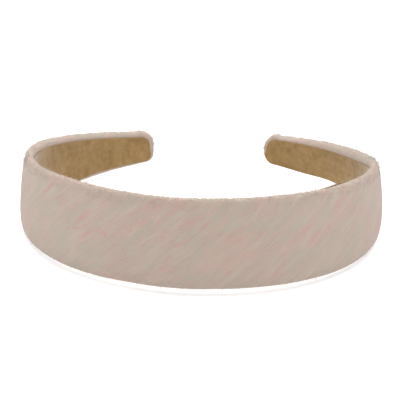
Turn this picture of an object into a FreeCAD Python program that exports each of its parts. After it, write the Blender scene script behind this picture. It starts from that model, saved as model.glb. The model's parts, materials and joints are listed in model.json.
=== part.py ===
"""Padded fabric headband, standing on its long edge, as layered pieces in three flexing sections.

The band is drawn level: its inner face is a plan curve of tangent arcs, X across, Y from the
crown towards the tips, Z along the band's width. It is then tipped back on to the two points of
its lower edge that it rocks to a stop on, and placed with the centre of its footprint at the
origin. Millimetres and degrees.
"""
import FreeCAD, Part
import math
import os

# Plan of the inner face: radius of each arc and the heading where it ends, from the crown's middle
CROWN_RADIUS = 69.4
CROWN_ARC_END = 49.0
SIDE_RADIUS = 50.4
SIDE_ARC_END = 113.0
TAIL_RADIUS = 59.9
TIP_HEADING = 162.0

# Half the band's width: at the crown, part way back, and at the tips
CROWN_HALF_WIDTH = 16.2
SIDE_HALF_WIDTH = 13.9
SIDE_DEPTH = 45.0
TIP_HALF_WIDTH = 6.3
TIP_DEPTH = 108.0
TIP_CORNER_RADIUS = 4.5

# Layers, from the head outwards
LINING_THICKNESS = 0.6
CLOTH_THICKNESS = 0.5
ADHESIVE_THICKNESS = 0.2
CORE_THICKNESS = 1.2
FOAM_THICKNESS = 1.6
LAYER_GAP = 0.04

# How far the turned-in cloth reaches from each edge, and how much of it the lining leaves bare
HEM_WIDTH = 5.0
HEM_BARE_WIDTH = 1.2

# The flexing sections meet here; the arms spring open about the outer face
SPLIT_HEADING = 28.0
SECTION_GAP = 0.3

# The band balances this far behind the crown's inner face
BALANCE_DEPTH = 38.0

# Radial places of the layers, measured outwards from the inner face of the turned-in cloth
HEM_TOP = CLOTH_THICKNESS
HEM_ADHESIVE_BOTTOM = HEM_TOP + LAYER_GAP
HEM_ADHESIVE_TOP = HEM_ADHESIVE_BOTTOM + ADHESIVE_THICKNESS
CORE_BOTTOM = HEM_ADHESIVE_TOP + LAYER_GAP
CORE_TOP = CORE_BOTTOM + CORE_THICKNESS
FOAM_ADHESIVE_BOTTOM = CORE_TOP + LAYER_GAP
FOAM_ADHESIVE_TOP = FOAM_ADHESIVE_BOTTOM + ADHESIVE_THICKNESS
FOAM_BOTTOM = FOAM_ADHESIVE_TOP + LAYER_GAP
FOAM_TOP = FOAM_BOTTOM + FOAM_THICKNESS
CAVITY_TOP = FOAM_TOP + LAYER_GAP
BAND_THICKNESS = CAVITY_TOP + CLOTH_THICKNESS
LINING_TOP = -LAYER_GAP
LINING_BOTTOM = LINING_TOP - LINING_THICKNESS

FILLING_INSET = CLOTH_THICKNESS + LAYER_GAP
TAPE_INSET = HEM_WIDTH + LAYER_GAP

# Sizes of the cutting tools only: larger than the band
TOOL_HALF_HEIGHT = 40.0
TOOL_HALF_SPAN = 90.0
TOOL_OVERSHOOT = 2.0
PROFILE_FRONT = -30.0
PROFILE_BACK = 150.0

ARM_START = SPLIT_HEADING + math.degrees(SECTION_GAP / CROWN_RADIUS)


def direction(heading):
    """Unit vector from an arc's centre out to the point of that heading."""
    angle = math.radians(heading)
    return FreeCAD.Vector(math.sin(angle), -math.cos(angle), 0)


def plan_arcs():
    """The inner face's arcs from the crown's middle to the right-hand tip: centre, radius, ends."""
    crown_centre = FreeCAD.Vector(0, CROWN_RADIUS, 0)
    side_centre = crown_centre + direction(CROWN_ARC_END) * (CROWN_RADIUS - SIDE_RADIUS)
    tail_centre = side_centre + direction(SIDE_ARC_END) * (SIDE_RADIUS - TAIL_RADIUS)
    return [
        (crown_centre, CROWN_RADIUS, -CROWN_ARC_END, CROWN_ARC_END),
        (side_centre, SIDE_RADIUS, CROWN_ARC_END, SIDE_ARC_END),
        (tail_centre, TAIL_RADIUS, SIDE_ARC_END, TIP_HEADING),
    ]


def offset_edges(offset, start, end):
    """Arcs that run beside the inner face at an outward offset, between two headings."""
    edges = []
    for centre, radius, arc_start, arc_end in plan_arcs():
        first = max(start, arc_start)
        last = min(end, arc_end)
        if first >= last:
            continue
        points = [centre + direction(heading) * (radius + offset)
                  for heading in (first, (first + last) / 2, last)]
        edges.append(Part.Arc(*points).toShape())
    return edges


def plan_block(inner, outer, start, end):
    """A tall block over the plan strip between two offsets and two headings."""
    inner_edges = offset_edges(inner, start, end)
    outer_edges = offset_edges(outer, start, end)
    start_edge = Part.makeLine(inner_edges[0].firstVertex().Point, outer_edges[0].firstVertex().Point)
    end_edge = Part.makeLine(inner_edges[-1].lastVertex().Point, outer_edges[-1].lastVertex().Point)
    outline = Part.Wire(Part.__sortEdges__(inner_edges + [end_edge] + outer_edges + [start_edge]))
    outline.translate(FreeCAD.Vector(0, 0, -TOOL_HALF_HEIGHT))
    return Part.Face(outline).extrude(FreeCAD.Vector(0, 0, 2 * TOOL_HALF_HEIGHT))


def long_edge_arc():
    """The band's upper long edge in side view, part of one large circle from crown to tips."""
    return Part.Arc(
        FreeCAD.Vector(0, 0, CROWN_HALF_WIDTH),
        FreeCAD.Vector(0, SIDE_DEPTH, SIDE_HALF_WIDTH),
        FreeCAD.Vector(0, TIP_DEPTH, TIP_HALF_WIDTH)).toShape().Curve


def side_block(inset):
    """Everything between the two long edges, drawn in side view, with both edges moved in."""
    arc = long_edge_arc()
    radius = arc.Radius - inset

    def edge_point(depth):
        drop = math.sqrt(radius ** 2 - (depth - arc.Center.y) ** 2)
        return FreeCAD.Vector(-TOOL_HALF_SPAN, depth, arc.Center.z + drop)

    depths = (PROFILE_FRONT, SIDE_DEPTH, PROFILE_BACK)
    upper = [edge_point(depth) for depth in depths]
    lower = [FreeCAD.Vector(point.x, point.y, -point.z) for point in upper]
    outline = Part.Wire([
        Part.Arc(*upper).toShape(),
        Part.makeLine(upper[-1], lower[-1]),
        Part.Arc(*reversed(lower)).toShape(),
        Part.makeLine(lower[0], upper[0]),
    ])
    return Part.Face(outline).extrude(FreeCAD.Vector(2 * TOOL_HALF_SPAN, 0, 0))


def crown_strip(inner, outer, inset, overshoot=0.0):
    """One layer of the crown section."""
    end = SPLIT_HEADING + overshoot
    return plan_block(inner, outer, -end, end).common(side_block(inset)).Solids[0]


def arm_strip(inner, outer, inset, overshoot=0.0):
    """One layer of the right-hand arm, with its tip moved in as far as its long edges."""
    tip = TIP_HEADING - math.degrees(inset / TAIL_RADIUS)
    start = ARM_START - overshoot
    blank = plan_block(LINING_BOTTOM, BAND_THICKNESS, start, tip).common(side_block(inset)).Solids[0]
    corner_radius = TIP_CORNER_RADIUS - inset
    if corner_radius > 0:
        blank = round_tip(blank, tip, corner_radius)
    return plan_block(inner, outer, start, tip).common(blank).Solids[0]


def round_tip(blank, tip, corner_radius):
    """Round the two corners of an arm's end face, seen square on to the band."""
    tail_centre = plan_arcs()[-1][0]
    across = direction(tip)
    along = FreeCAD.Vector(-across.y, across.x, 0)
    corners = []
    for edge in blank.Edges:
        ends = [vertex.Point - tail_centre for vertex in (edge.firstVertex(), edge.lastVertex())]
        on_end_face = all(abs(end.dot(along)) < LAYER_GAP for end in ends)
        on_one_long_edge = ends[0].z * ends[1].z > 0
        if on_end_face and on_one_long_edge:
            corners.append(edge)
    return blank.makeFillet(corner_radius, corners)


def cover_of(strip):
    """Cloth wrapped round the filling, open on the inner face between its turned-in hems."""
    outside = strip(0, BAND_THICKNESS, 0)
    cavity = strip(HEM_TOP, CAVITY_TOP, CLOTH_THICKNESS, TOOL_OVERSHOOT)
    window = strip(LINING_BOTTOM, CORE_BOTTOM, HEM_WIDTH, TOOL_OVERSHOOT)
    return outside.cut(cavity).cut(window)


def hem_adhesive_of(strip):
    """Film that holds the hems to the core, only as wide as the hems."""
    full = strip(HEM_ADHESIVE_BOTTOM, HEM_ADHESIVE_TOP, FILLING_INSET)
    middle = strip(HEM_TOP, CORE_BOTTOM, HEM_WIDTH, TOOL_OVERSHOOT)
    return full.cut(middle)


def layers_of(strip):
    """Every piece of one section, by piece name."""
    return {
        "cover": cover_of(strip),
        "foam": strip(FOAM_BOTTOM, FOAM_TOP, FILLING_INSET),
        "foam_adhesive": strip(FOAM_ADHESIVE_BOTTOM, FOAM_ADHESIVE_TOP, FILLING_INSET),
        "core": strip(CORE_BOTTOM, CORE_TOP, FILLING_INSET),
        "hem_adhesive": hem_adhesive_of(strip),
        "lining_tape": strip(0, HEM_ADHESIVE_TOP, TAPE_INSET),
        "lining": strip(LINING_BOTTOM, LINING_TOP, HEM_BARE_WIDTH),
    }


def band_pieces():
    """All the nodes, drawn level. The left arm mirrors the right one."""
    pieces = {}
    for layer, shape in layers_of(crown_strip).items():
        pieces["crown_" + layer] = shape
    for layer, shape in layers_of(arm_strip).items():
        pieces["right_arm_" + layer] = shape
        pieces["left_arm_" + layer] = shape.mirror(FreeCAD.Vector(0, 0, 0), FreeCAD.Vector(1, 0, 0))
    return pieces


def resting_placement(pieces):
    """Tip the band back to where it balances, and put its footprint's centre at the origin."""
    arc = long_edge_arc()
    tilt = math.degrees(math.asin((BALANCE_DEPTH - arc.Center.y) / arc.Radius))
    tipped = FreeCAD.Placement(FreeCAD.Vector(0, 0, 0), FreeCAD.Rotation(FreeCAD.Vector(1, 0, 0), -tilt))
    covers = [shape for node, shape in pieces.items() if node.endswith("_cover")]
    band = Part.makeCompound(covers)
    band.Placement = tipped
    box = band.optimalBoundingBox(False)
    lift = FreeCAD.Vector(0, -(box.YMin + box.YMax) / 2, -box.ZMin)
    return FreeCAD.Placement(lift, tipped.Rotation)


def print_joints(placement):
    """The two spring hinges: a point on each axis and the axis that opens the arm."""
    crown_centre = plan_arcs()[0][0]
    middle_of_gap = (SPLIT_HEADING + ARM_START) / 2
    right = crown_centre + direction(middle_of_gap) * (CROWN_RADIUS + BAND_THICKNESS)
    left = FreeCAD.Vector(-right.x, right.y, right.z)
    up = placement.Rotation.multVec(FreeCAD.Vector(0, 0, 1))
    print("tilt", -math.degrees(placement.Rotation.Angle), "lift", placement.Base)
    print("right hinge", placement.multVec(right), "opens about", -up)
    print("left hinge", placement.multVec(left), "opens about", up)


def main():
    os.makedirs("parts", exist_ok=True)
    pieces = band_pieces()
    placement = resting_placement(pieces)
    for node, shape in pieces.items():
        shape.Placement = placement.multiply(shape.Placement)
        shape.exportStep("parts/" + node + ".step")
        box = shape.BoundBox
        print("%-24s valid %s solids %d volume %.1f mm3  %.1f x %.1f x %.1f" % (
            node, shape.isValid(), len(shape.Solids), shape.Volume,
            box.XLength, box.YLength, box.ZLength))
    print_joints(placement)
    whole = Part.makeCompound([shape for shape in pieces.values()]).optimalBoundingBox(False)
    print("whole", whole)


main()
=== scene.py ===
"""Padded fabric headband: bias-cut slub cloth over foam and a springy core, lined with suede ribbon.

Each layer is a strip that follows the band's plan curve and taper, made as a left and a right
half. The halves meet at the crown's middle, where their ends are open.
Lengths are in metres. "Level" coordinates are the band before it is tipped on to its lower edge.
"""

import json
import math
from collections import namedtuple

import bmesh
import bpy
import numpy as np
from mathutils import Matrix, Vector, noise


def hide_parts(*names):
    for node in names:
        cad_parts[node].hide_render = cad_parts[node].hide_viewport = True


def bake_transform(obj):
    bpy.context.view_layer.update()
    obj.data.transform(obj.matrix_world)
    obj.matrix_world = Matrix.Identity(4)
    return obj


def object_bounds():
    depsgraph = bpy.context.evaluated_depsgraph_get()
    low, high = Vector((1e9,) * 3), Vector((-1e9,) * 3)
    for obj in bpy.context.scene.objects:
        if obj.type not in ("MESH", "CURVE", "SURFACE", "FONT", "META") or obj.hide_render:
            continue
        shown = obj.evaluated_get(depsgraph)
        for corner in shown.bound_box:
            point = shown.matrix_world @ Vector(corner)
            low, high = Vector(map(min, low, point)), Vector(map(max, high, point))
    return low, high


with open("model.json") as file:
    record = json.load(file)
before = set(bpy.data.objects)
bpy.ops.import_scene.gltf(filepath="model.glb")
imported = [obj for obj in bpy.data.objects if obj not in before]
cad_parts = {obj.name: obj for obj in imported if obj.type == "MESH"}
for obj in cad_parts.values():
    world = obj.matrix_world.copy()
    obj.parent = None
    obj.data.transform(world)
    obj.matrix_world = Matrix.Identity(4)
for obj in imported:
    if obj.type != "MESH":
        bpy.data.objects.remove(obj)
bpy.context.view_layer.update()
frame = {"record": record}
MM = 0.001

# Plan of the band's inner face: arc radius and the heading in degrees where each arc ends
PLAN_ARCS = ((69.4 * MM, 49.0), (50.4 * MM, 113.0), (59.9 * MM, 162.0))

# Where the crown's CAD section ends, and the gap there
SPLIT_HEADING = 28.0
SECTION_GAP = 0.3 * MM

# Half the band's width at three depths behind the crown's inner face; SIDE_HALF_WIDTH also
# scales the flare
SIDE_HALF_WIDTH = 13.9 * MM
WIDTH_POINTS = ((0.0, 16.2 * MM), (45.0 * MM, SIDE_HALF_WIDTH), (108.0 * MM, 6.3 * MM))

# The layers, measured outwards from the inner face of the turned-in cloth. A span is a layer's
# lower and upper offset. PAD_SQUARENESS is the power of the padded face's superellipse.
BAND_THICKNESS = 4.4 * MM
CLOTH_THICKNESS = 0.45 * MM
CLOTH_GAP = 0.05 * MM
PAD_SQUARENESS = 2.7
HEM_WIDTH = 5.0 * MM
CORE_SPAN = (0.78 * MM, 1.98 * MM)
FOAM_BOTTOM = 2.26 * MM
HEM_FILM_SPAN = (0.54 * MM, 0.74 * MM)
FILM_SETBACK = 0.3 * MM
FOAM_FILM_SPAN = (2.02 * MM, 2.22 * MM)
TAPE_SPAN = (0.0, 0.74 * MM)
LINING_SPAN = (-0.40 * MM, -0.02 * MM)
TAPE_INSET = 5.04 * MM

# The rounded inner edge: how far out and how far in it reaches, and the clear cloth between it
# and the lining; it is fuller along the upper edge. The core and the adhesive stop short of the
# lower and the upper edge by FILLING_INSETS.
LOWER_ROUND = (1.1 * MM, 1.1 * MM)
UPPER_ROUND = (2.4 * MM, 3.4 * MM)
ROUND_TO_LINING = 0.2 * MM
FILLING_INSETS = (0.9 * MM, 2.0 * MM)

# Left and right: the sign of X, how round the tip's upper and lower corners are, how far the
# cloth runs past the tip, and the bare cloth left between the lining and the tip, the lower edge
# and the upper edge. The hand-made band strays from true by humps (height, place along the band,
# length): more bare cloth at the sides, a lower edge that droops, an arm that lifts. Last, how
# far the upper edge of the side leans in.
Side = namedtuple("Side", "sign tip_corners tip_extra bare_tip bare_bottom bare_top bare_side "
                          "droops lifts flare_above")
SIDES = {
    "left": Side(-1.0, (5.2 * MM, 3.4 * MM), 0.8 * MM, 2.1 * MM, 0.9 * MM, 2.0 * MM,
                 (0.4 * MM, 132 * MM, 20 * MM),
                 ((2.6 * MM, 139 * MM, 34 * MM), (0.7 * MM, 128 * MM, 8 * MM)),
                 ((0.4 * MM, 112 * MM, 14 * MM), (-0.45 * MM, 158 * MM, 18 * MM)), 1.2 * MM),
    "right": Side(1.0, (5.6 * MM, 4.4 * MM), 1.2 * MM, 1.5 * MM, 0.3 * MM, 0.6 * MM,
                  (2.9 * MM, 124 * MM, 34 * MM),
                  ((0.9 * MM, 150 * MM, 12 * MM), (-1.6 * MM, 129 * MM, 16 * MM)),
                  ((-0.3 * MM, 110 * MM, 24 * MM),), 1.3 * MM),
}

# At the crown both halves have the same bare cloth, above and below the lining; it changes to
# each side's own between these places along the band
BARE_CROWN = (1.6 * MM, 0.7 * MM)
BARE_CHANGE = (12 * MM, 45 * MM)

# The edge of the lining wanders by this height in waves of this length
WANDER_HEIGHT = 0.2 * MM
WANDER_LENGTH = 9 * MM

# Humps by which the lower edge hangs on both sides
BELLIES = ((1.4 * MM, 0.0, 45 * MM), (0.9 * MM, 56 * MM, 26 * MM), (0.6 * MM, 84 * MM, 14 * MM))

# The sides flare: the lower edge stands out and the upper one leans in. The flare grows between
# the first pair of headings, in radians, and fades between the second.
FLARE_BELOW = 1.0 * MM
FLARE_STARTS = (0.15, 0.75)
FLARE_ENDS = (2.1, 2.7)

# Yarn bumps along the folded edges, lower and upper, and slow unevenness of the padding. The
# seeds choose the noise.
KNUCKLE_HEIGHTS = (0.1 * MM, 0.65 * MM)
KNUCKLE_SIZE = 0.9 * MM
KNUCKLE_REACH = 2.0 * MM
KNUCKLE_SEED = 11.3
LUMP_HEIGHT = 0.14 * MM
LUMP_SIZE = 15.0 * MM
LUMP_SEED = 3.7

# How round the ends of the inner layers' sections are
FOAM_FILM_ROUNDING = 0.05 * MM
CORE_ROUNDING = 0.4 * MM
TAPE_ROUNDING = 0.1 * MM
LINING_ROUNDING = 0.4 * MM

# Mesh spacing: the step along the band, points round the tip, points of each section, and how
# close two points are joined. FACE_POINTS are drawn and then respaced to FACE_COLUMNS, which
# crowd towards the edge.
ALONG_STEP = 0.45 * MM
CORNER_POINTS = 16
FLAT_POINTS = 8
FACE_POINTS = 240
FACE_COLUMNS = 30
FACE_CROWDING = 1.5
TURN_COLUMNS = 7
HEM_COLUMNS = 5
UNDERSIDE_COLUMNS = 10
SLAB_COLUMNS = 14
SLAB_TURN_COLUMNS = 9
FILM_COLUMNS = 4
WELD_DISTANCE = 1e-3 * MM


# ---------------------------------------------------------------- plan, taper and placement

def unit(heading):
    """Outward direction at a heading in radians."""
    return np.stack([np.sin(heading), -np.cos(heading)], axis=-1)


# One arc of the plan: the heading and the distance along the band where it starts
Arc = namedtuple("Arc", "centre radius start length")


def plan_arcs():
    """The arcs of the right half, from the crown's middle, and the half's whole length."""
    arcs = []
    centre = np.array([0.0, PLAN_ARCS[0][0]])
    start = 0.0
    length = 0.0
    for index, (radius, end_degrees) in enumerate(PLAN_ARCS):
        end = math.radians(end_degrees)
        if index:
            centre = centre + unit(start) * (arcs[-1].radius - radius)
        arcs.append(Arc(centre, radius, start, length))
        length += radius * (end - start)
        start = end
    return arcs, length


ARCS, HALF_LENGTH = plan_arcs()

# Humps on the right only: a tuck of cloth on the tip's upper corner, a place where the lining
# rides up towards the upper edge, and a dip of the upper edge in front. The tuck grows between
# two shares of the way from the middle line to the edge.
TUCK_SHARES = (0.55, 0.95)
TUCK = (0.65 * MM, HALF_LENGTH - 2.3 * MM, 1.9 * MM)
LINING_RISE = (0.85 * MM, 59 * MM, 8 * MM)
UPPER_DIP = (0.5 * MM, 50 * MM, 16 * MM)


def heading_at(along):
    """Heading of the inner face at a distance along it from the crown's middle."""
    heading = np.zeros_like(along)
    for arc in ARCS:
        here = arc.start + (along - arc.length) / arc.radius
        heading = np.where(along >= arc.length, here, heading)
    return heading


def level_plan(along, out):
    """X and Y of points at a distance along the inner face and an outward offset from it."""
    heading = heading_at(along)
    place = np.zeros(along.shape + (2,))
    for arc in ARCS:
        here = arc.centre + unit(heading) * (arc.radius + out)[..., None]
        place = np.where((along >= arc.length)[..., None], here, place)
    return place


def circle_through(points):
    """Centre and radius of the circle through three points."""
    (ax, ay), (bx, by), (cx, cy) = points
    rows = np.array([[bx - ax, by - ay], [cx - ax, cy - ay]]) * 2
    sides = np.array([bx ** 2 + by ** 2 - ax ** 2 - ay ** 2,
                      cx ** 2 + cy ** 2 - ax ** 2 - ay ** 2])
    centre = np.linalg.solve(rows, sides)
    return centre, math.hypot(ax - centre[0], ay - centre[1])


EDGE_CENTRE, EDGE_RADIUS = circle_through(WIDTH_POINTS)


def half_width(depth):
    """Half the band's width at a depth behind the crown: its long edges are large circles."""
    return EDGE_CENTRE[1] + np.sqrt(EDGE_RADIUS ** 2 - (depth - EDGE_CENTRE[0]) ** 2)


def resting_place():
    """Rotation and shift from level to row coordinates, read from the right arm's hinge."""
    joints = frame["record"]["behaviour"]["joints"]
    joint = next(j for j in joints if j["name"] == "right_arm_flex")
    up = -Vector(joint["axis"]).normalized()
    turn = Matrix.Rotation(-math.atan2(up.y, up.z), 3, "X")
    half_gap = SECTION_GAP / 2 / PLAN_ARCS[0][0]
    out = unit(math.radians(SPLIT_HEADING) + half_gap) * (PLAN_ARCS[0][0] + BAND_THICKNESS)
    hinge = Vector((out[0], ARCS[0].centre[1] + out[1], 0))
    return turn, Vector(joint["pos_m"]) - turn @ hinge


TURN, SHIFT = resting_place()


def to_row(points):
    """Level points, as an array, in the row frame."""
    return points @ np.array(TURN).T + np.array(SHIFT)


def hump(value, facts):
    """A smooth hump of a given height, middle and length."""
    height, middle, length = facts
    return height * np.exp(-((value - middle) / length) ** 2)


def between(value, low, high):
    """0 below low, 1 above high, and smooth between."""
    share = np.clip((value - low) / (high - low), 0, 1)
    return share * share * (3 - 2 * share)


# ---------------------------------------------------------------- strips

# Half of a band's outline. Along the band each arm runs square from a point of the middle line
# to the edge; round the tip all the arms start from one centre. lean is 1 on the upper edge,
# -1 on the lower one and 0 at the tip's end.
Ring = namedtuple("Ring", "side centres arms halves lean")


def corner_arms(half, corner):
    """Arms from the tip's centre along its upper edge and round the corner to its middle."""
    flat = half - corner
    turn = np.linspace(0, math.pi / 2, CORNER_POINTS)
    round_arms = np.stack([flat + corner * np.sin(turn), flat + corner * np.cos(turn)], -1)
    onward = np.linspace(0, flat, FLAT_POINTS)[1:-1]
    back = np.linspace(flat, 0, FLAT_POINTS)[1:]
    lead = np.stack([onward, np.full_like(onward, half)], -1)
    end = np.stack([np.full_like(back, half), back], -1)
    return np.concatenate([lead, round_arms, end])


def tip_arms(half, corners):
    """Arms from the tip's centre round its two corners, from the upper edge to the lower one."""
    upper, lower = (corner_arms(half, corner) for corner in corners)
    return np.concatenate([upper, lower[-2::-1] * [1, -1]])


def ring_of(side):
    """The outline of one half: out along its upper edge, round the tip and back along the lower."""
    facts = SIDES[side]
    tip_half = float(half_width(level_plan(np.array([HALF_LENGTH]), np.zeros(1))[0, 1]))
    tip_centre = HALF_LENGTH + facts.tip_extra - tip_half
    along = np.linspace(0, tip_centre, int(tip_centre / ALONG_STEP))
    sides = half_width(level_plan(along, np.zeros_like(along))[:, 1])
    zero = np.zeros_like(along)
    tip = tip_arms(sides[-1], facts.tip_corners)
    upper = np.stack([zero, sides], -1)
    arms = np.concatenate([upper, tip, upper[::-1] * [1, -1]])
    centres = np.concatenate([along, np.full(len(tip), tip_centre), along[::-1]])
    halves = np.concatenate([sides, np.full(len(tip), sides[-1]), sides[::-1]])
    return Ring(side, centres, arms, halves, arms[:, 1] / halves)


def strip(name, side, section, closed=False):
    """A strip's mesh: a cross-section carried along the outline.

    section(ring) gives, for every outline point, how far in from the edge each point of the
    section lies, its outward offset, and its distance from the middle line over the cloth.
    """
    ring = ring_of(side)
    inward, out, reach = section(ring)
    cloth = cloth_point(ring, reach)
    return grid_mesh(name, side, level_points(ring, inward, out), cloth, closed)


def level_points(ring, inward, out):
    """Level places of section points, with the small faults of a hand-covered band."""
    facts = SIDES[ring.side]
    share = 1 - inward / ring.halves[:, None]
    along = ring.centres[:, None] + ring.arms[:, 0, None] * share
    taper = half_width(level_plan(along, out)[..., 1]) / ring.halves[:, None]
    height = ring.arms[:, 1, None] * share * taper
    up = height / SIDE_HALF_WIDTH
    heading = heading_at(along)
    at_sides = between(heading, *FLARE_STARTS) * (1 - between(heading, *FLARE_ENDS))
    flare = at_sides * (FLARE_BELOW * (-up).clip(0) - facts.flare_above * up.clip(0))
    plan = level_plan(along, out + flare)
    plan[..., 0] *= facts.sign
    if facts.sign > 0:
        raised = hump(along, TUCK) * between(share, *TUCK_SHARES)
        raised = raised - hump(along, UPPER_DIP) * share.clip(0)
        height = height + raised * (ring.lean > 0)[:, None]
    hang = sum(hump(along, one) for one in facts.droops + BELLIES) * share.clip(0)
    lift = sum(hump(along, one) for one in facts.lifts)
    height = height - hang * (ring.lean < 0)[:, None] + lift
    return np.concatenate([plan, height[..., None]], -1)


def cloth_point(ring, reach):
    """Flat position on the cut cloth: along the band, and up across it."""
    share = reach / ring.halves[:, None]
    along = ring.centres[:, None] + ring.arms[:, 0, None] * share
    along = along + BAND_THICKNESS * heading_at(ring.centres)[:, None]
    return np.stack([along * SIDES[ring.side].sign, ring.arms[:, 1, None] * share], -1)


def grid_mesh(name, side, level, cloth, closed):
    """A quad mesh from rows of section points, welded along the band's middle line."""
    rows, columns = level.shape[:2]
    points = to_row(level.reshape(-1, 3))
    corner = np.arange(rows - 1)[:, None] * columns
    column = np.arange(columns if closed else columns - 1)[None, :]
    following = (column + 1) % columns
    quads = np.stack([corner + column, corner + following,
                      corner + columns + following, corner + columns + column], -1).reshape(-1, 4)
    if SIDES[side].sign < 0:
        quads = quads[:, ::-1]
    mesh = bpy.data.meshes.new(name)
    mesh.from_pydata(points.tolist(), [], quads.tolist())
    layer = mesh.uv_layers.new(name="cloth")
    flat = cloth.reshape(-1, 2)
    layer.data.foreach_set("uv", flat[quads.reshape(-1)].astype(np.float32).ravel())
    weld(mesh)
    mesh.shade_smooth()
    piece = bpy.data.objects.new(name, mesh)
    bpy.context.scene.collection.objects.link(piece)
    return piece


def weld(mesh):
    """Join points that coincide, and drop the faces that this flattens."""
    work = bmesh.new()
    work.from_mesh(mesh)
    bmesh.ops.remove_doubles(work, verts=work.verts, dist=WELD_DISTANCE)
    bmesh.ops.dissolve_degenerate(work, edges=work.edges, dist=WELD_DISTANCE)
    work.to_mesh(mesh)
    work.free()


# ---------------------------------------------------------------- sections

def path_length(inward, out):
    """Distance over the surface from the section's first point."""
    steps = np.hypot(np.diff(inward, axis=1), np.diff(out, axis=1))
    return np.concatenate([np.zeros((len(inward), 1)), np.cumsum(steps, 1)], 1)


def respaced(inward, out, shares):
    """The same path with its points at given shares of its length."""
    length = path_length(inward, out)
    length = length / length[:, -1:]
    inward = np.stack([np.interp(shares, *row) for row in zip(length, inward)])
    out = np.stack([np.interp(shares, *row) for row in zip(length, out)])
    return inward, out


def lining_inset(ring):
    """Bare cloth beyond the lining: more above than below, and less where the lining rides up."""
    facts = SIDES[ring.side]
    onward = between(ring.centres, *BARE_CHANGE)
    above = BARE_CROWN[0] + (facts.bare_top - BARE_CROWN[0]) * onward
    below = BARE_CROWN[1] + (facts.bare_bottom - BARE_CROWN[1]) * onward
    above = above + hump(ring.centres, facts.bare_side)
    if facts.sign > 0:
        above = above - hump(ring.centres, LINING_RISE)
    wander = WANDER_HEIGHT * np.sin(ring.centres / WANDER_LENGTH + 2 * ring.lean)
    upper = np.clip(ring.lean, 0, 1)
    lower = np.clip(-ring.lean, 0, 1)
    edge = facts.bare_tip + (above - facts.bare_tip) * upper
    return edge + (below - facts.bare_tip) * lower + wander


def filling_inset(ring):
    """How far the core and the adhesive stay from the folded edge."""
    low, high = FILLING_INSETS
    return low + (high - low) * ring.lean.clip(0)


def inner_round(ring):
    """How far out and how far in the rounded inner edge reaches, as columns."""
    upper = ring.lean.clip(0)
    out = LOWER_ROUND[0] + (UPPER_ROUND[0] - LOWER_ROUND[0]) * upper
    inward = np.clip(lining_inset(ring) - ROUND_TO_LINING, LOWER_ROUND[1], UPPER_ROUND[1])
    inward = LOWER_ROUND[1] + (inward - LOWER_ROUND[1]) * upper
    return out[:, None], inward[:, None]


def pad_path(ring):
    """From the middle line over the padded face to the edge: a quarter of a superellipse."""
    turn = np.linspace(math.pi / 2, 0, FACE_POINTS)[None, :]
    power = 2 / PAD_SQUARENESS
    edge_out = inner_round(ring)[0]
    inward = ring.halves[:, None] * (1 - np.cos(turn).clip(0) ** power)
    out = edge_out + (BAND_THICKNESS - edge_out) * np.sin(turn).clip(0) ** power
    shares = 1 - (1 - np.linspace(0, 1, FACE_COLUMNS)) ** FACE_CROWDING
    return respaced(inward, out, shares)


def skin_path(ring):
    """The cloth's outer surface: padded face, turn of the edge, and hem to its raw edge."""
    inward, out = pad_path(ring)
    round_out, round_inward = inner_round(ring)
    turn = np.linspace(0, math.pi / 2, TURN_COLUMNS)[1:]
    hem = np.linspace(0, 1, HEM_COLUMNS)[1:]
    turn_inward = round_inward * (1 - np.cos(turn))
    turn_out = round_out * (1 - np.sin(turn))
    hem_inward = round_inward + (HEM_WIDTH - round_inward) * hem
    inward = np.concatenate([inward, turn_inward, hem_inward], 1)
    out = np.concatenate([out, turn_out, 0 * hem_inward], 1)
    return inward, out


def path_normal(inward, out):
    """Unit direction out of the padding, as inward and outward parts."""
    step_inward = np.gradient(inward, axis=1)
    step_out = np.gradient(out, axis=1)
    size = np.hypot(step_inward, step_out)
    return step_out / size, -step_inward / size


def noise_field(points, size, seed):
    """Smooth noise of about -1 to 1 at flat cloth points, with bumps of a given size."""
    flat = points.reshape(-1, 2) / size
    values = [noise.noise((float(x), float(y), seed)) for x, y in flat]
    return np.array(values).reshape(points.shape[:-1])


def cover_section(ring):
    """The cloth: its outer surface, the raw edge of the hem, and back along its inner surface."""
    inward, out = skin_path(ring)
    reach = path_length(inward, out)
    normal_inward, normal_out = path_normal(inward, out)
    spot = cloth_point(ring, reach)
    from_edge = np.abs(reach - reach[:, FACE_COLUMNS - 1, None])
    near_edge = 1 - between(from_edge, 0, KNUCKLE_REACH)
    low, high = KNUCKLE_HEIGHTS
    knuckle = low + (high - low) * ring.lean.clip(0)[:, None]
    raised = LUMP_HEIGHT * noise_field(spot, LUMP_SIZE, LUMP_SEED)
    raised += knuckle * near_edge * noise_field(spot, KNUCKLE_SIZE, KNUCKLE_SEED)
    outer_inward = inward + normal_inward * raised
    outer_out = out + normal_out * raised
    every_second = slice(None, None, -2)
    inner_inward = (inward - normal_inward * CLOTH_THICKNESS)[:, every_second]
    inner_out = (out - normal_out * CLOTH_THICKNESS)[:, every_second]
    inner_inward[:, -1] = ring.halves
    return (np.concatenate([outer_inward, inner_inward], 1),
            np.concatenate([outer_out, inner_out], 1),
            np.concatenate([reach, reach[:, every_second]], 1))


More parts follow.
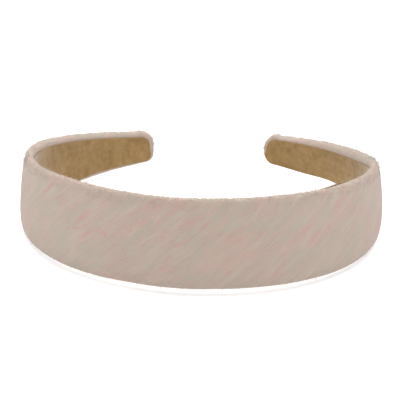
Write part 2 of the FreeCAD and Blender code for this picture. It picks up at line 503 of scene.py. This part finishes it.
def foam_section(ring):
    """The pad: domed like the cloth above it and flat where it is stuck to the core."""
    inward, out = pad_path(ring)
    normal_inward, normal_out = path_normal(inward, out)
    inset = CLOTH_THICKNESS + CLOTH_GAP
    inward = inward - normal_inward * inset
    inward[:, 0] = ring.halves
    out = np.maximum(out - normal_out * inset, FOAM_BOTTOM)
    onward = np.linspace(1, 0, UNDERSIDE_COLUMNS)
    under = ring.halves[:, None] - (ring.halves - inward[:, -1])[:, None] * onward
    inward = np.concatenate([inward, under[:, 1:]], 1)
    out = np.concatenate([out, np.full_like(under[:, 1:], FOAM_BOTTOM)], 1)
    return inward, out, ring.halves[:, None] - inward


def slab_section(span, inset_of, rounding):
    """A section maker for a plain layer between two offsets; inset_of(ring) is its edge."""
    low, high = span

    def section(ring):
        edge = inset_of(ring)[:, None] + rounding
        onward = np.linspace(0, 1, SLAB_COLUMNS)
        across = ring.halves[:, None] - (ring.halves[:, None] - edge) * onward
        turn = np.linspace(0, math.pi, SLAB_TURN_COLUMNS)[None, 1:-1]
        round_inward = edge - rounding * np.sin(turn)
        middle = (low + high) / 2
        round_out = middle + (high - low) / 2 * np.cos(turn) + 0 * round_inward
        inward = np.concatenate([across, round_inward, across[:, ::-1]], 1)
        top = np.full_like(across, high)
        out = np.concatenate([top, round_out, np.full_like(across, low)], 1)
        return inward, out, ring.halves[:, None] - inward
    return section


def film_section(ring):
    """The adhesive under the hem runs only along the edges, so its section is closed."""
    low, high = HEM_FILM_SPAN
    start = filling_inset(ring)[:, None] + FILM_SETBACK
    across = start + (HEM_WIDTH - start) * np.linspace(0, 1, FILM_COLUMNS)
    inward = np.concatenate([across, across[:, ::-1]], 1)
    out = np.concatenate([np.full_like(across, high), np.full_like(across, low)], 1)
    return inward, out, ring.halves[:, None] - inward


def even_inset(inset):
    """An inset maker for a layer whose edge is the same distance from the outline all round."""
    return lambda ring: np.full(len(ring.halves), inset)


# ---------------------------------------------------------------- loose fibres

# Fibres on one half: three quarters of them on the upper edge and the rest on any. They sway by a
# share of their length, start a share of it below the cloth, and thin to a share of their radius.
FIBRE_COUNT = 2200
FIBRE_LENGTHS = (0.35 * MM, 1.0 * MM)
FIBRE_RADIUS = 0.045 * MM
FIBRE_POINTS = 4
FIBRE_SWAY = 0.55
FIBRE_ROOT = 0.1
FIBRE_TAPER = 0.35

# The columns of the section that fibres grow from, before and past the edge
FIBRE_COLUMNS = (FACE_COLUMNS - 12, FACE_COLUMNS + 4)

# The tuft of lint on the upper edge, and its place along the band
TUFT_COUNT = 60
TUFT_LENGTHS = (1.2 * MM, 3.0 * MM)
TUFT_SPREAD = 2.2 * MM
TUFT_AT = {"left": 83 * MM, "right": 104 * MM}

RANDOM_SEEDS = {"left": 7, "right": 8}

# An arbitrary direction, from which each fibre's cross-section is laid out
ODD_DIRECTION = (0.31, 0.52, 0.80)


def fibre_mesh(name, side):
    """Fine fibres that stand off the folded edges, and a tuft of lint on the upper edge."""
    draw = np.random.default_rng(RANDOM_SEEDS[side])
    ring = ring_of(side)
    inward, out = skin_path(ring)
    normal_inward, normal_out = path_normal(inward, out)
    upper = np.flatnonzero(ring.lean >= 0)
    close = np.abs(ring.centres - TUFT_AT[side]) < TUFT_SPREAD
    near_tuft = np.flatnonzero(close & (ring.lean > 0))
    rows = np.concatenate([draw.choice(upper, FIBRE_COUNT * 3 // 4),
                           draw.integers(0, len(ring.halves), FIBRE_COUNT // 4),
                           draw.choice(near_tuft, TUFT_COUNT)])
    columns = draw.integers(*FIBRE_COLUMNS, len(rows))
    lengths = np.concatenate([draw.uniform(*FIBRE_LENGTHS, FIBRE_COUNT),
                              draw.uniform(*TUFT_LENGTHS, TUFT_COUNT)])
    sway = draw.normal(0, FIBRE_SWAY, (len(rows), 3)) * lengths[:, None]
    picked = Ring(side, *(values[rows] for values in ring[1:]))
    paths = []
    for step in np.linspace(-FIBRE_ROOT, 1, FIBRE_POINTS):
        rise = (lengths * step)[:, None]
        at_inward = inward[rows, columns, None] + normal_inward[rows, columns, None] * rise
        at_out = out[rows, columns, None] + normal_out[rows, columns, None] * rise
        paths.append(level_points(picked, at_inward, at_out)[:, 0] + sway * step ** 2)
    piece = tubes(name, np.stack(paths, 1), FIBRE_RADIUS)
    faces_each = len(piece.data.polygons) // len(rows)
    for face in piece.data.polygons[FIBRE_COUNT * faces_each:]:
        face.material_index = 1
    return piece


def tubes(name, paths, radius):
    """Thin three-sided tapering tubes along many paths, closed at both ends."""
    count, points = paths.shape[:2]
    tangent = np.gradient(paths, axis=1)
    side = np.cross(tangent, ODD_DIRECTION)
    side /= np.linalg.norm(side, axis=-1, keepdims=True)
    other = np.cross(tangent, side)
    other /= np.linalg.norm(other, axis=-1, keepdims=True)
    thin = radius * np.linspace(1, FIBRE_TAPER, points)[None, :, None]
    corners = []
    for turn in (0, math.tau / 3, 2 * math.tau / 3):
        corners.append(paths + thin * (side * math.cos(turn) + other * math.sin(turn)))
    verts = to_row(np.stack(corners, 2).reshape(-1, 3))
    faces = []
    for fibre in range(count):
        first = fibre * points * 3
        for point in range(points - 1):
            low = first + point * 3
            for corner in range(3):
                after = (corner + 1) % 3
                faces.append((low + corner, low + after, low + 3 + after, low + 3 + corner))
        last = first + (points - 1) * 3
        faces += [(first + 2, first + 1, first), (last, last + 1, last + 2)]
    mesh = bpy.data.meshes.new(name)
    mesh.from_pydata(verts.tolist(), [], faces)
    mesh.shade_smooth()
    piece = bpy.data.objects.new(name, mesh)
    bpy.context.scene.collection.objects.link(piece)
    return piece


# ---------------------------------------------------------------- materials

class Shading:
    """A material whose nodes are added and joined by short calls; inputs are sockets or numbers."""

    def __init__(self, name, **settings):
        self.material = bpy.data.materials.new(name)
        self.material.use_nodes = True
        self.tree = self.material.node_tree
        self.shader = self.tree.nodes["Principled BSDF"]
        for socket, value in settings.items():
            self.shader.inputs[socket.replace("_", " ")].default_value = value

    def put(self, socket, value):
        """Join a socket to an input, or set the input to a number or colour."""
        if isinstance(value, bpy.types.NodeSocket):
            self.tree.links.new(value, socket)
        elif value is not None:
            socket.default_value = value

    def math(self, operation, first, second=None, third=None):
        node = self.tree.nodes.new("ShaderNodeMath")
        node.operation = operation
        for socket, value in zip(node.inputs, (first, second, third)):
            self.put(socket, value)
        return node.outputs[0]

    def step(self, value, low, high):
        """Smoothly from 0 at low to 1 at high."""
        node = self.tree.nodes.new("ShaderNodeMapRange")
        node.interpolation_type = "SMOOTHSTEP"
        self.put(node.inputs["Value"], value)
        self.put(node.inputs["From Min"], low)
        self.put(node.inputs["From Max"], high)
        return node.outputs[0]

    def scale(self, value, low, high):
        """0..1 to low..high."""
        return self.math("MULTIPLY_ADD", value, high - low, low)

    def vector(self, x, y, z=0.0):
        node = self.tree.nodes.new("ShaderNodeCombineXYZ")
        for socket, value in zip(node.inputs, (x, y, z)):
            self.put(socket, value)
        return node.outputs[0]

    def noise(self, place, detail=2.0):
        node = self.tree.nodes.new("ShaderNodeTexNoise")
        self.put(node.inputs["Vector"], place)
        node.inputs["Scale"].default_value = 1.0
        node.inputs["Detail"].default_value = detail
        return node.outputs["Fac"]

    def stretched(self, first, second, long, wide, seed, detail=2.0):
        """Noise stretched along the first coordinate; long and wide are in the same unit."""
        x = self.math("DIVIDE", first, long)
        y = self.math("DIVIDE", second, wide)
        return self.noise(self.vector(x, y, seed), detail)

    def random(self, value, seed):
        """A random number for each whole number."""
        node = self.tree.nodes.new("ShaderNodeTexWhiteNoise")
        node.noise_dimensions = "2D"
        self.put(node.inputs["Vector"], self.vector(value, seed))
        return node.outputs["Value"]

    def mix(self, share, first, second):
        """From the first colour to the second."""
        node = self.tree.nodes.new("ShaderNodeMix")
        node.data_type = "RGBA"
        self.put(node.inputs[0], share)
        for socket, value in ((node.inputs[6], first), (node.inputs[7], second)):
            self.put(socket, (*value, 1.0) if isinstance(value, tuple) else value)
        return node.outputs[2]

    def cloth_millimetres(self):
        """Flat position on the cut cloth, along and across the band."""
        node = self.tree.nodes.new("ShaderNodeUVMap")
        node.uv_map = "cloth"
        parts = self.tree.nodes.new("ShaderNodeSeparateXYZ")
        self.put(parts.inputs[0], node.outputs[0])
        return [self.math("MULTIPLY", axis, 1 / MM) for axis in parts.outputs[:2]]

    def object_place(self, scale):
        """Position in the piece, multiplied by a scale."""
        node = self.tree.nodes.new("ShaderNodeTexCoord")
        mapping = self.tree.nodes.new("ShaderNodeMapping")
        self.put(mapping.inputs["Vector"], node.outputs["Object"])
        mapping.inputs["Scale"].default_value = (scale, scale, scale)
        return mapping.outputs[0]

    def finish(self, colour, roughness, height=None, depth=0.0):
        """Join colour, roughness and a relief of a given depth to the shader."""
        self.put(self.shader.inputs["Base Color"], colour)
        self.put(self.shader.inputs["Roughness"], roughness)
        if height is not None:
            bump = self.tree.nodes.new("ShaderNodeBump")
            bump.inputs["Strength"].default_value = 1.0
            bump.inputs["Distance"].default_value = depth
            self.put(bump.inputs["Height"], height)
            self.put(self.shader.inputs["Normal"], bump.outputs[0])
        return self.material


# Yarn spacing and tape rib in millimetres, the angle of the weft to the band, and colours
YARN_PITCH = 0.44
BIAS_ANGLE = math.radians(40)
CREAM = (0.497, 0.417, 0.345)
GREY_CREAM = (0.442, 0.384, 0.313)
ROSE = (0.494, 0.376, 0.320)
SLUB_PINK = (0.560, 0.262, 0.248)
PALE_YARN = (0.560, 0.484, 0.408)
# Darker yarn colour: the own darker tone of some yarns, and also painted shade in the grooves between
# the yarns
DARK_YARN_AND_GROOVE_SHADE = (0.310, 0.240, 0.202)
SUEDE_TONES = ((0.225, 0.132, 0.044), (0.345, 0.222, 0.100))
# The darker foam tone is painted shade for the cells' hollows; the paler one is the foam's own colour
FOAM_PORE_SHADE_AND_COLOUR = ((0.52, 0.47, 0.36), (0.80, 0.76, 0.64))
FOAM_CELL = 0.5 * MM
PLASTIC_TONES = ((0.62, 0.61, 0.57), (0.74, 0.73, 0.69))
ADHESIVE_TONES = ((0.66, 0.53, 0.28), (0.78, 0.70, 0.50))
# The darker tape tone is painted shade for the grooves between the ribs; the paler one is the tape's
# own colour
TAPE_GROOVE_SHADE_AND_COLOUR = ((0.60, 0.58, 0.54), (0.80, 0.79, 0.76))
TAPE_RIB = 0.5
EDGE_FIBRE_TONES = ((0.33, 0.28, 0.25), (0.48, 0.42, 0.38))
LINT_TONES = ((0.46, 0.42, 0.385), (0.60, 0.56, 0.52))

# Depth of each material's fine relief
CLOTH_RELIEF = 0.09 * MM
SUEDE_RELIEF = 0.07 * MM
FOAM_RELIEF = 0.1 * MM
SMOOTH_RELIEF = 0.02 * MM
TAPE_RELIEF = 0.05 * MM


def cover_material():
    """Plain weave on the bias: cream warp, and weft with soft pink slubs; the grooves between the
    yarns carry painted shade.
    """
    s = Shading("slub_cloth", Sheen_Weight=0.10, Sheen_Roughness=0.5, Specular_IOR_Level=0.2)
    u, v = s.cloth_millimetres()
    sway = s.scale(s.stretched(u, v, 30, 30, 4.1), -0.8, 0.8)
    cos, sin = math.cos(BIAS_ANGLE), math.sin(BIAS_ANGLE)
    a = s.math("ADD", s.math("MULTIPLY", u, cos), s.math("MULTIPLY", v, sin))
    b = s.math("SUBTRACT", s.math("MULTIPLY", v, cos), s.math("MULTIPLY", u, sin))
    ripple = s.scale(s.stretched(u, v, 6, 6, 14.6), -0.8, 0.8)
    a = s.math("ADD", a, sway)
    b = s.math("SUBTRACT", s.math("ADD", b, ripple), sway)
    across = s.math("DIVIDE", b, YARN_PITCH)
    along = s.math("DIVIDE", a, YARN_PITCH)
    weft_number = s.math("FLOOR", across)
    warp_number = s.math("FLOOR", along)
    wave = s.math("MULTIPLY", s.math("SINE", s.math("MULTIPLY", across, math.pi)),
                  s.math("SINE", s.math("MULTIPLY", along, math.pi)))
    weft_on_top = s.step(wave, -0.18, 0.18)

    patch = s.step(s.stretched(a, b, 18, 4.5, 1.3), 0.42, 0.60)
    ground = s.mix(patch, GREY_CREAM, ROSE)
    long_tone = s.stretched(a, b, 11, 1.9, 2.2)
    ground = s.mix(s.step(long_tone, 0.42, 0.74), ground, CREAM)
    slub = s.step(s.stretched(a, b, 10, 2.4, 9.2, 3.0), 0.49, 0.73)
    thread = s.step(s.stretched(a, b, 7, 1.5, 5.5), 0.46, 0.76)
    fleck = s.step(s.stretched(a, b, 5, 1.4, 6.6), 0.58, 0.80)
    pink = s.math("MULTIPLY", slub, s.scale(thread, 0.35, 0.85))
    pink = s.math("MAXIMUM", pink, s.math("MULTIPLY", thread, 0.32))
    pink = s.math("MAXIMUM", pink, s.math("MULTIPLY", fleck, 0.85))
    cloth = s.mix(pink, ground, SLUB_PINK)

    weft_shade = s.random(weft_number, 7.0)
    weft = s.mix(s.scale(weft_shade, 0.0, 0.15), cloth, DARK_YARN_AND_GROOVE_SHADE)
    pair = s.math("PINGPONG", warp_number, 1.0)
    clear = s.step(s.stretched(a, b, 9, 9, 8.8), 0.46, 0.62)
    stripe = s.math("MULTIPLY", pair, s.scale(clear, 0.07, 0.50))
    warp = s.mix(s.math("MULTIPLY", s.scale(clear, 0.10, 0.50), s.math("SUBTRACT", 1.0, pair)),
                 cloth, PALE_YARN)
    warp = s.mix(stripe, warp, DARK_YARN_AND_GROOVE_SHADE)
    colour = s.mix(s.scale(weft_on_top, 0.25, 0.75), warp, weft)
    # Painted shade: darker in the grooves between the yarns, where the weave's relief is lowest
    groove_shade = s.step(s.math("ABSOLUTE", wave), 0.0, 0.35)
    colour = s.mix(s.scale(groove_shade, 0.22, 0.0), colour, DARK_YARN_AND_GROOVE_SHADE)
    fibre = s.noise(s.vector(s.math("MULTIPLY", u, 9.0), s.math("MULTIPLY", v, 9.0)), 3.0)
    colour = s.mix(s.scale(fibre, 0.0, 0.14), colour, PALE_YARN)
    height = s.math("ADD", s.math("ABSOLUTE", wave), s.math("MULTIPLY", fibre, 0.4))
    height = s.math("ADD", height, s.math("MULTIPLY", slub, 0.6))
    return s.finish(colour, s.scale(fibre, 0.78, 0.98), height, CLOTH_RELIEF)


def lining_material():
    """Brushed suede ribbon: nap brushed in soft patches, with fine fibre."""
    s = Shading("suede_ribbon", Sheen_Weight=0.35, Sheen_Roughness=0.4, Specular_IOR_Level=0.2)
    u, v = s.cloth_millimetres()
    brushed = s.step(s.stretched(v, u, 4.2, 4.6, 2.0, 3.0), 0.36, 0.66)
    broad = s.step(s.stretched(u, v, 16, 12, 5.0), 0.38, 0.62)
    spots = s.step(s.stretched(v, u, 2.0, 2.6, 8.0, 3.0), 0.34, 0.70)
    fibre = s.stretched(v, u, 0.35, 0.4, 3.0, 3.0)
    tone = s.math("ADD", s.math("MULTIPLY", brushed, 0.30), s.math("MULTIPLY", broad, 0.25))
    tone = s.math("ADD", tone, s.math("MULTIPLY", spots, 0.38))
    tone = s.math("ADD", tone, s.math("MULTIPLY", fibre, 0.14))
    colour = s.mix(tone, *SUEDE_TONES)
    height = s.math("ADD", s.math("MULTIPLY", fibre, 0.4), s.math("MULTIPLY", spots, 0.5))
    return s.finish(colour, s.scale(fibre, 0.82, 1.0), height, SUEDE_RELIEF)


def foam_material():
    """Open-cell foam: fine round cells, with painted shade in their hollow middles."""
    s = Shading("padding_foam", Specular_IOR_Level=0.2)
    cells = s.tree.nodes.new("ShaderNodeTexVoronoi")
    s.put(cells.inputs["Vector"], s.object_place(1.0))
    cells.inputs["Scale"].default_value = 1 / FOAM_CELL
    pore = s.step(cells.outputs["Distance"], 0.15, 0.45)
    # Painted shade: the colour darkens towards each cell's hollow middle, where the relief is lowest
    colour = s.mix(pore, *FOAM_PORE_SHADE_AND_COLOUR)
    return s.finish(colour, s.scale(pore, 1.0, 0.85), pore, FOAM_RELIEF)


def plastic_material():
    """Moulded polypropylene: faint flow marks and a satin surface."""
    s = Shading("core_plastic", Subsurface_Weight=0.1, Subsurface_Scale=0.002)
    flow = s.noise(s.object_place(90.0), 4.0)
    colour = s.mix(flow, *PLASTIC_TONES)
    return s.finish(colour, s.scale(flow, 0.35, 0.55), flow, SMOOTH_RELIEF)


def film_material():
    """Amber transfer adhesive with trapped air."""
    s = Shading("adhesive_film")
    air = s.step(s.noise(s.object_place(700.0), 3.0), 0.55, 0.70)
    colour = s.mix(air, *ADHESIVE_TONES)
    return s.finish(colour, s.scale(air, 0.15, 0.45), air, SMOOTH_RELIEF)


def tape_material():
    """White woven tape under the lining, with painted shade in the grooves between its ribs."""
    s = Shading("lining_tape")
    along = s.cloth_millimetres()[0]
    rib = s.math("ABSOLUTE", s.math("SINE", s.math("MULTIPLY", along, math.pi / TAPE_RIB)))
    # Painted shade: darker in the grooves between the ribs, where the relief is lowest
    colour = s.mix(rib, *TAPE_GROOVE_SHADE_AND_COLOUR)
    return s.finish(colour, s.scale(rib, 0.9, 0.7), rib, TAPE_RELIEF)


def fibre_material(name, dark, light):
    """Single fibres, uneven in colour."""
    s = Shading(name, Sheen_Weight=0.2, Specular_IOR_Level=0.2)
    tone = s.noise(s.object_place(250.0), 2.0)
    return s.finish(s.mix(tone, dark, light), s.scale(tone, 0.8, 0.95))


# ---------------------------------------------------------------- the band

def flat_size(ring, section):
    """Width, length and area of the cut cloth for one half, from its outermost points."""
    reach = section(ring)[2]
    outermost = np.argmax(reach, axis=1)
    rows = np.arange(len(reach))
    edge = cloth_point(ring, reach)[rows, outermost]
    x, y = edge[:, 0], edge[:, 1]
    area = abs(float(np.sum(x * np.roll(y, -1) - y * np.roll(x, -1)))) / 2
    return (float(np.ptp(y)), float(np.ptp(x))), area


def bend(piece):
    """Bake the piece's placement into its mesh."""
    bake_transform(piece)


ADHESIVE = film_material()
EDGE_FIBRE = fibre_material("edge_fibre", *EDGE_FIBRE_TONES)
LINT = fibre_material("lint", *LINT_TONES)

# Each layer's section, material slot and material
LAYERS = {
    "cover": (cover_section, "cover_cloth", cover_material()),
    "foam": (foam_section, "foam", foam_material()),
    "foam_adhesive": (slab_section(FOAM_FILM_SPAN, filling_inset, FOAM_FILM_ROUNDING),
                      "adhesive_film", ADHESIVE),
    "core": (slab_section(CORE_SPAN, filling_inset, CORE_ROUNDING),
             "core_plastic", plastic_material()),
    "hem_adhesive": (film_section, "adhesive_film", ADHESIVE),
    "lining_tape": (slab_section(TAPE_SPAN, even_inset(TAPE_INSET), TAPE_ROUNDING),
                    "lining_tape", tape_material()),
    "lining": (slab_section(LINING_SPAN, lining_inset, LINING_ROUNDING),
               "lining_suede", lining_material()),
}
SHEETS = ("cover", "lining")


def build_band():
    """Every layer of both halves, with the loose fibres."""
    for side in SIDES:
        ring = ring_of(side)
        for layer, (section, slot, material) in LAYERS.items():
            piece = strip(layer + "_" + side, side, section, closed=section is film_section)
            piece.data.materials.append(material)
            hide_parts("crown_" + layer, side + "_arm_" + layer)
            bend(piece)
            if layer in SHEETS:
                flat, area = flat_size(ring, section)
        fibres = fibre_mesh("edge_fibres_" + side, side)
        fibres.data.materials.append(EDGE_FIBRE)
        fibres.data.materials.append(LINT)
        bend(fibres)


# ---------------------------------------------------------------- camera, light and stage

# The camera, in level coordinates: its direction from the pivot and its roll in degrees, its
# distance, its lens in millimetres, and how far from the pivot it aims
CAMERA_AZIMUTH = 3.07
CAMERA_ELEVATION = 18.7
CAMERA_ROLL = 1.3
CAMERA_DISTANCE = 0.5745
CAMERA_LENS = 133.7
CAMERA_PIVOT = (0.0, 61.0 * MM, 0.0)
AIM_RIGHT = -0.6 * MM
AIM_DOWN = 6.0 * MM
CAMERA_SENSOR = 36.0
CAMERA_CLIP = 0.01

# The soft lights: place, the point aimed at, size, power and colour
WHITE = (1.0, 1.0, 1.0)
COOL = (0.85, 1.0, 1.09)
LIGHTS = {
    "overhead": ((0.0, 0.0, 1.2), (0, 0, 0), 2.0, 31.5, WHITE),
    "left_fill": ((-1.1, 0.1, 0.5), (0, 0, 0.02), 0.8, 2.2, COOL),
    "right_fill": ((1.1, 0.1, 0.5), (0, 0, 0.02), 0.8, 1.8, COOL),
}
WORLD_STRENGTH = 0.32

# The floor reaches this far each way; its own glow keeps it pale
FLOOR_REACH = 6.0
FLOOR_GLOW = 0.42
FLOOR_TONES = ((0.68, 0.68, 0.68), (0.72, 0.72, 0.72))


def add_camera():
    """The scene's camera, tipped with the band."""
    azimuth = math.radians(CAMERA_AZIMUTH)
    elevation = math.radians(CAMERA_ELEVATION)
    back = Vector((math.sin(azimuth) * math.cos(elevation),
                   -math.cos(azimuth) * math.cos(elevation), math.sin(elevation)))
    look = (-back).to_track_quat("-Z", "Y").to_matrix()
    place = Vector(CAMERA_PIVOT) + back * CAMERA_DISTANCE
    centre = Vector(CAMERA_PIVOT) + look @ Vector((AIM_RIGHT, -AIM_DOWN, 0))
    look = (centre - place).to_track_quat("-Z", "Y").to_matrix()
    look = look @ Matrix.Rotation(math.radians(CAMERA_ROLL), 3, "Z")
    data = bpy.data.cameras.new("camera")
    data.lens = CAMERA_LENS
    data.sensor_width = CAMERA_SENSOR
    data.clip_start = CAMERA_CLIP
    camera = bpy.data.objects.new("camera", data)
    bpy.context.scene.collection.objects.link(camera)
    camera.matrix_world = Matrix.Translation(TURN @ place + SHIFT) @ (TURN @ look).to_4x4()
    bpy.context.scene.camera = camera


def add_light(name, place, aim, size, power, colour):
    """A round area light."""
    data = bpy.data.lights.new(name, "AREA")
    data.shape = "DISK"
    data.size = size
    data.energy = power
    data.color = colour
    light = bpy.data.objects.new(name, data)
    bpy.context.scene.collection.objects.link(light)
    toward = (Vector(aim) - Vector(place)).to_track_quat("-Z", "Y").to_matrix().to_4x4()
    light.matrix_world = Matrix.Translation(place) @ toward


def add_stage():
    """A pale floor under the band's lowest point, a plain world and the lights."""
    mesh = bpy.data.meshes.new("floor")
    reach = FLOOR_REACH
    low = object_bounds()[0][2]
    corners = [(-reach, -reach, low), (reach, -reach, low), (reach, reach, low), (-reach, reach, low)]
    mesh.from_pydata(corners, [], [(0, 1, 2, 3)])
    floor = bpy.data.objects.new("floor", mesh)
    bpy.context.scene.collection.objects.link(floor)
    s = Shading("floor_white", Specular_IOR_Level=0.1)
    paper = s.noise(s.object_place(400.0), 3.0)
    s.shader.inputs["Emission Color"].default_value = (1.0, 1.0, 1.0, 1.0)
    s.shader.inputs["Emission Strength"].default_value = FLOOR_GLOW
    mesh.materials.append(s.finish(s.mix(paper, *FLOOR_TONES), s.scale(paper, 0.85, 0.95)))
    world = bpy.data.worlds.new("studio")
    world.use_nodes = True
    background = world.node_tree.nodes["Background"]
    background.inputs["Color"].default_value = (1, 1, 1, 1)
    background.inputs["Strength"].default_value = WORLD_STRENGTH
    bpy.context.scene.world = world
    for name, facts in LIGHTS.items():
        add_light(name, *facts)
    bpy.context.scene.view_settings.view_transform = "Standard"


build_band()
add_camera()
add_stage()
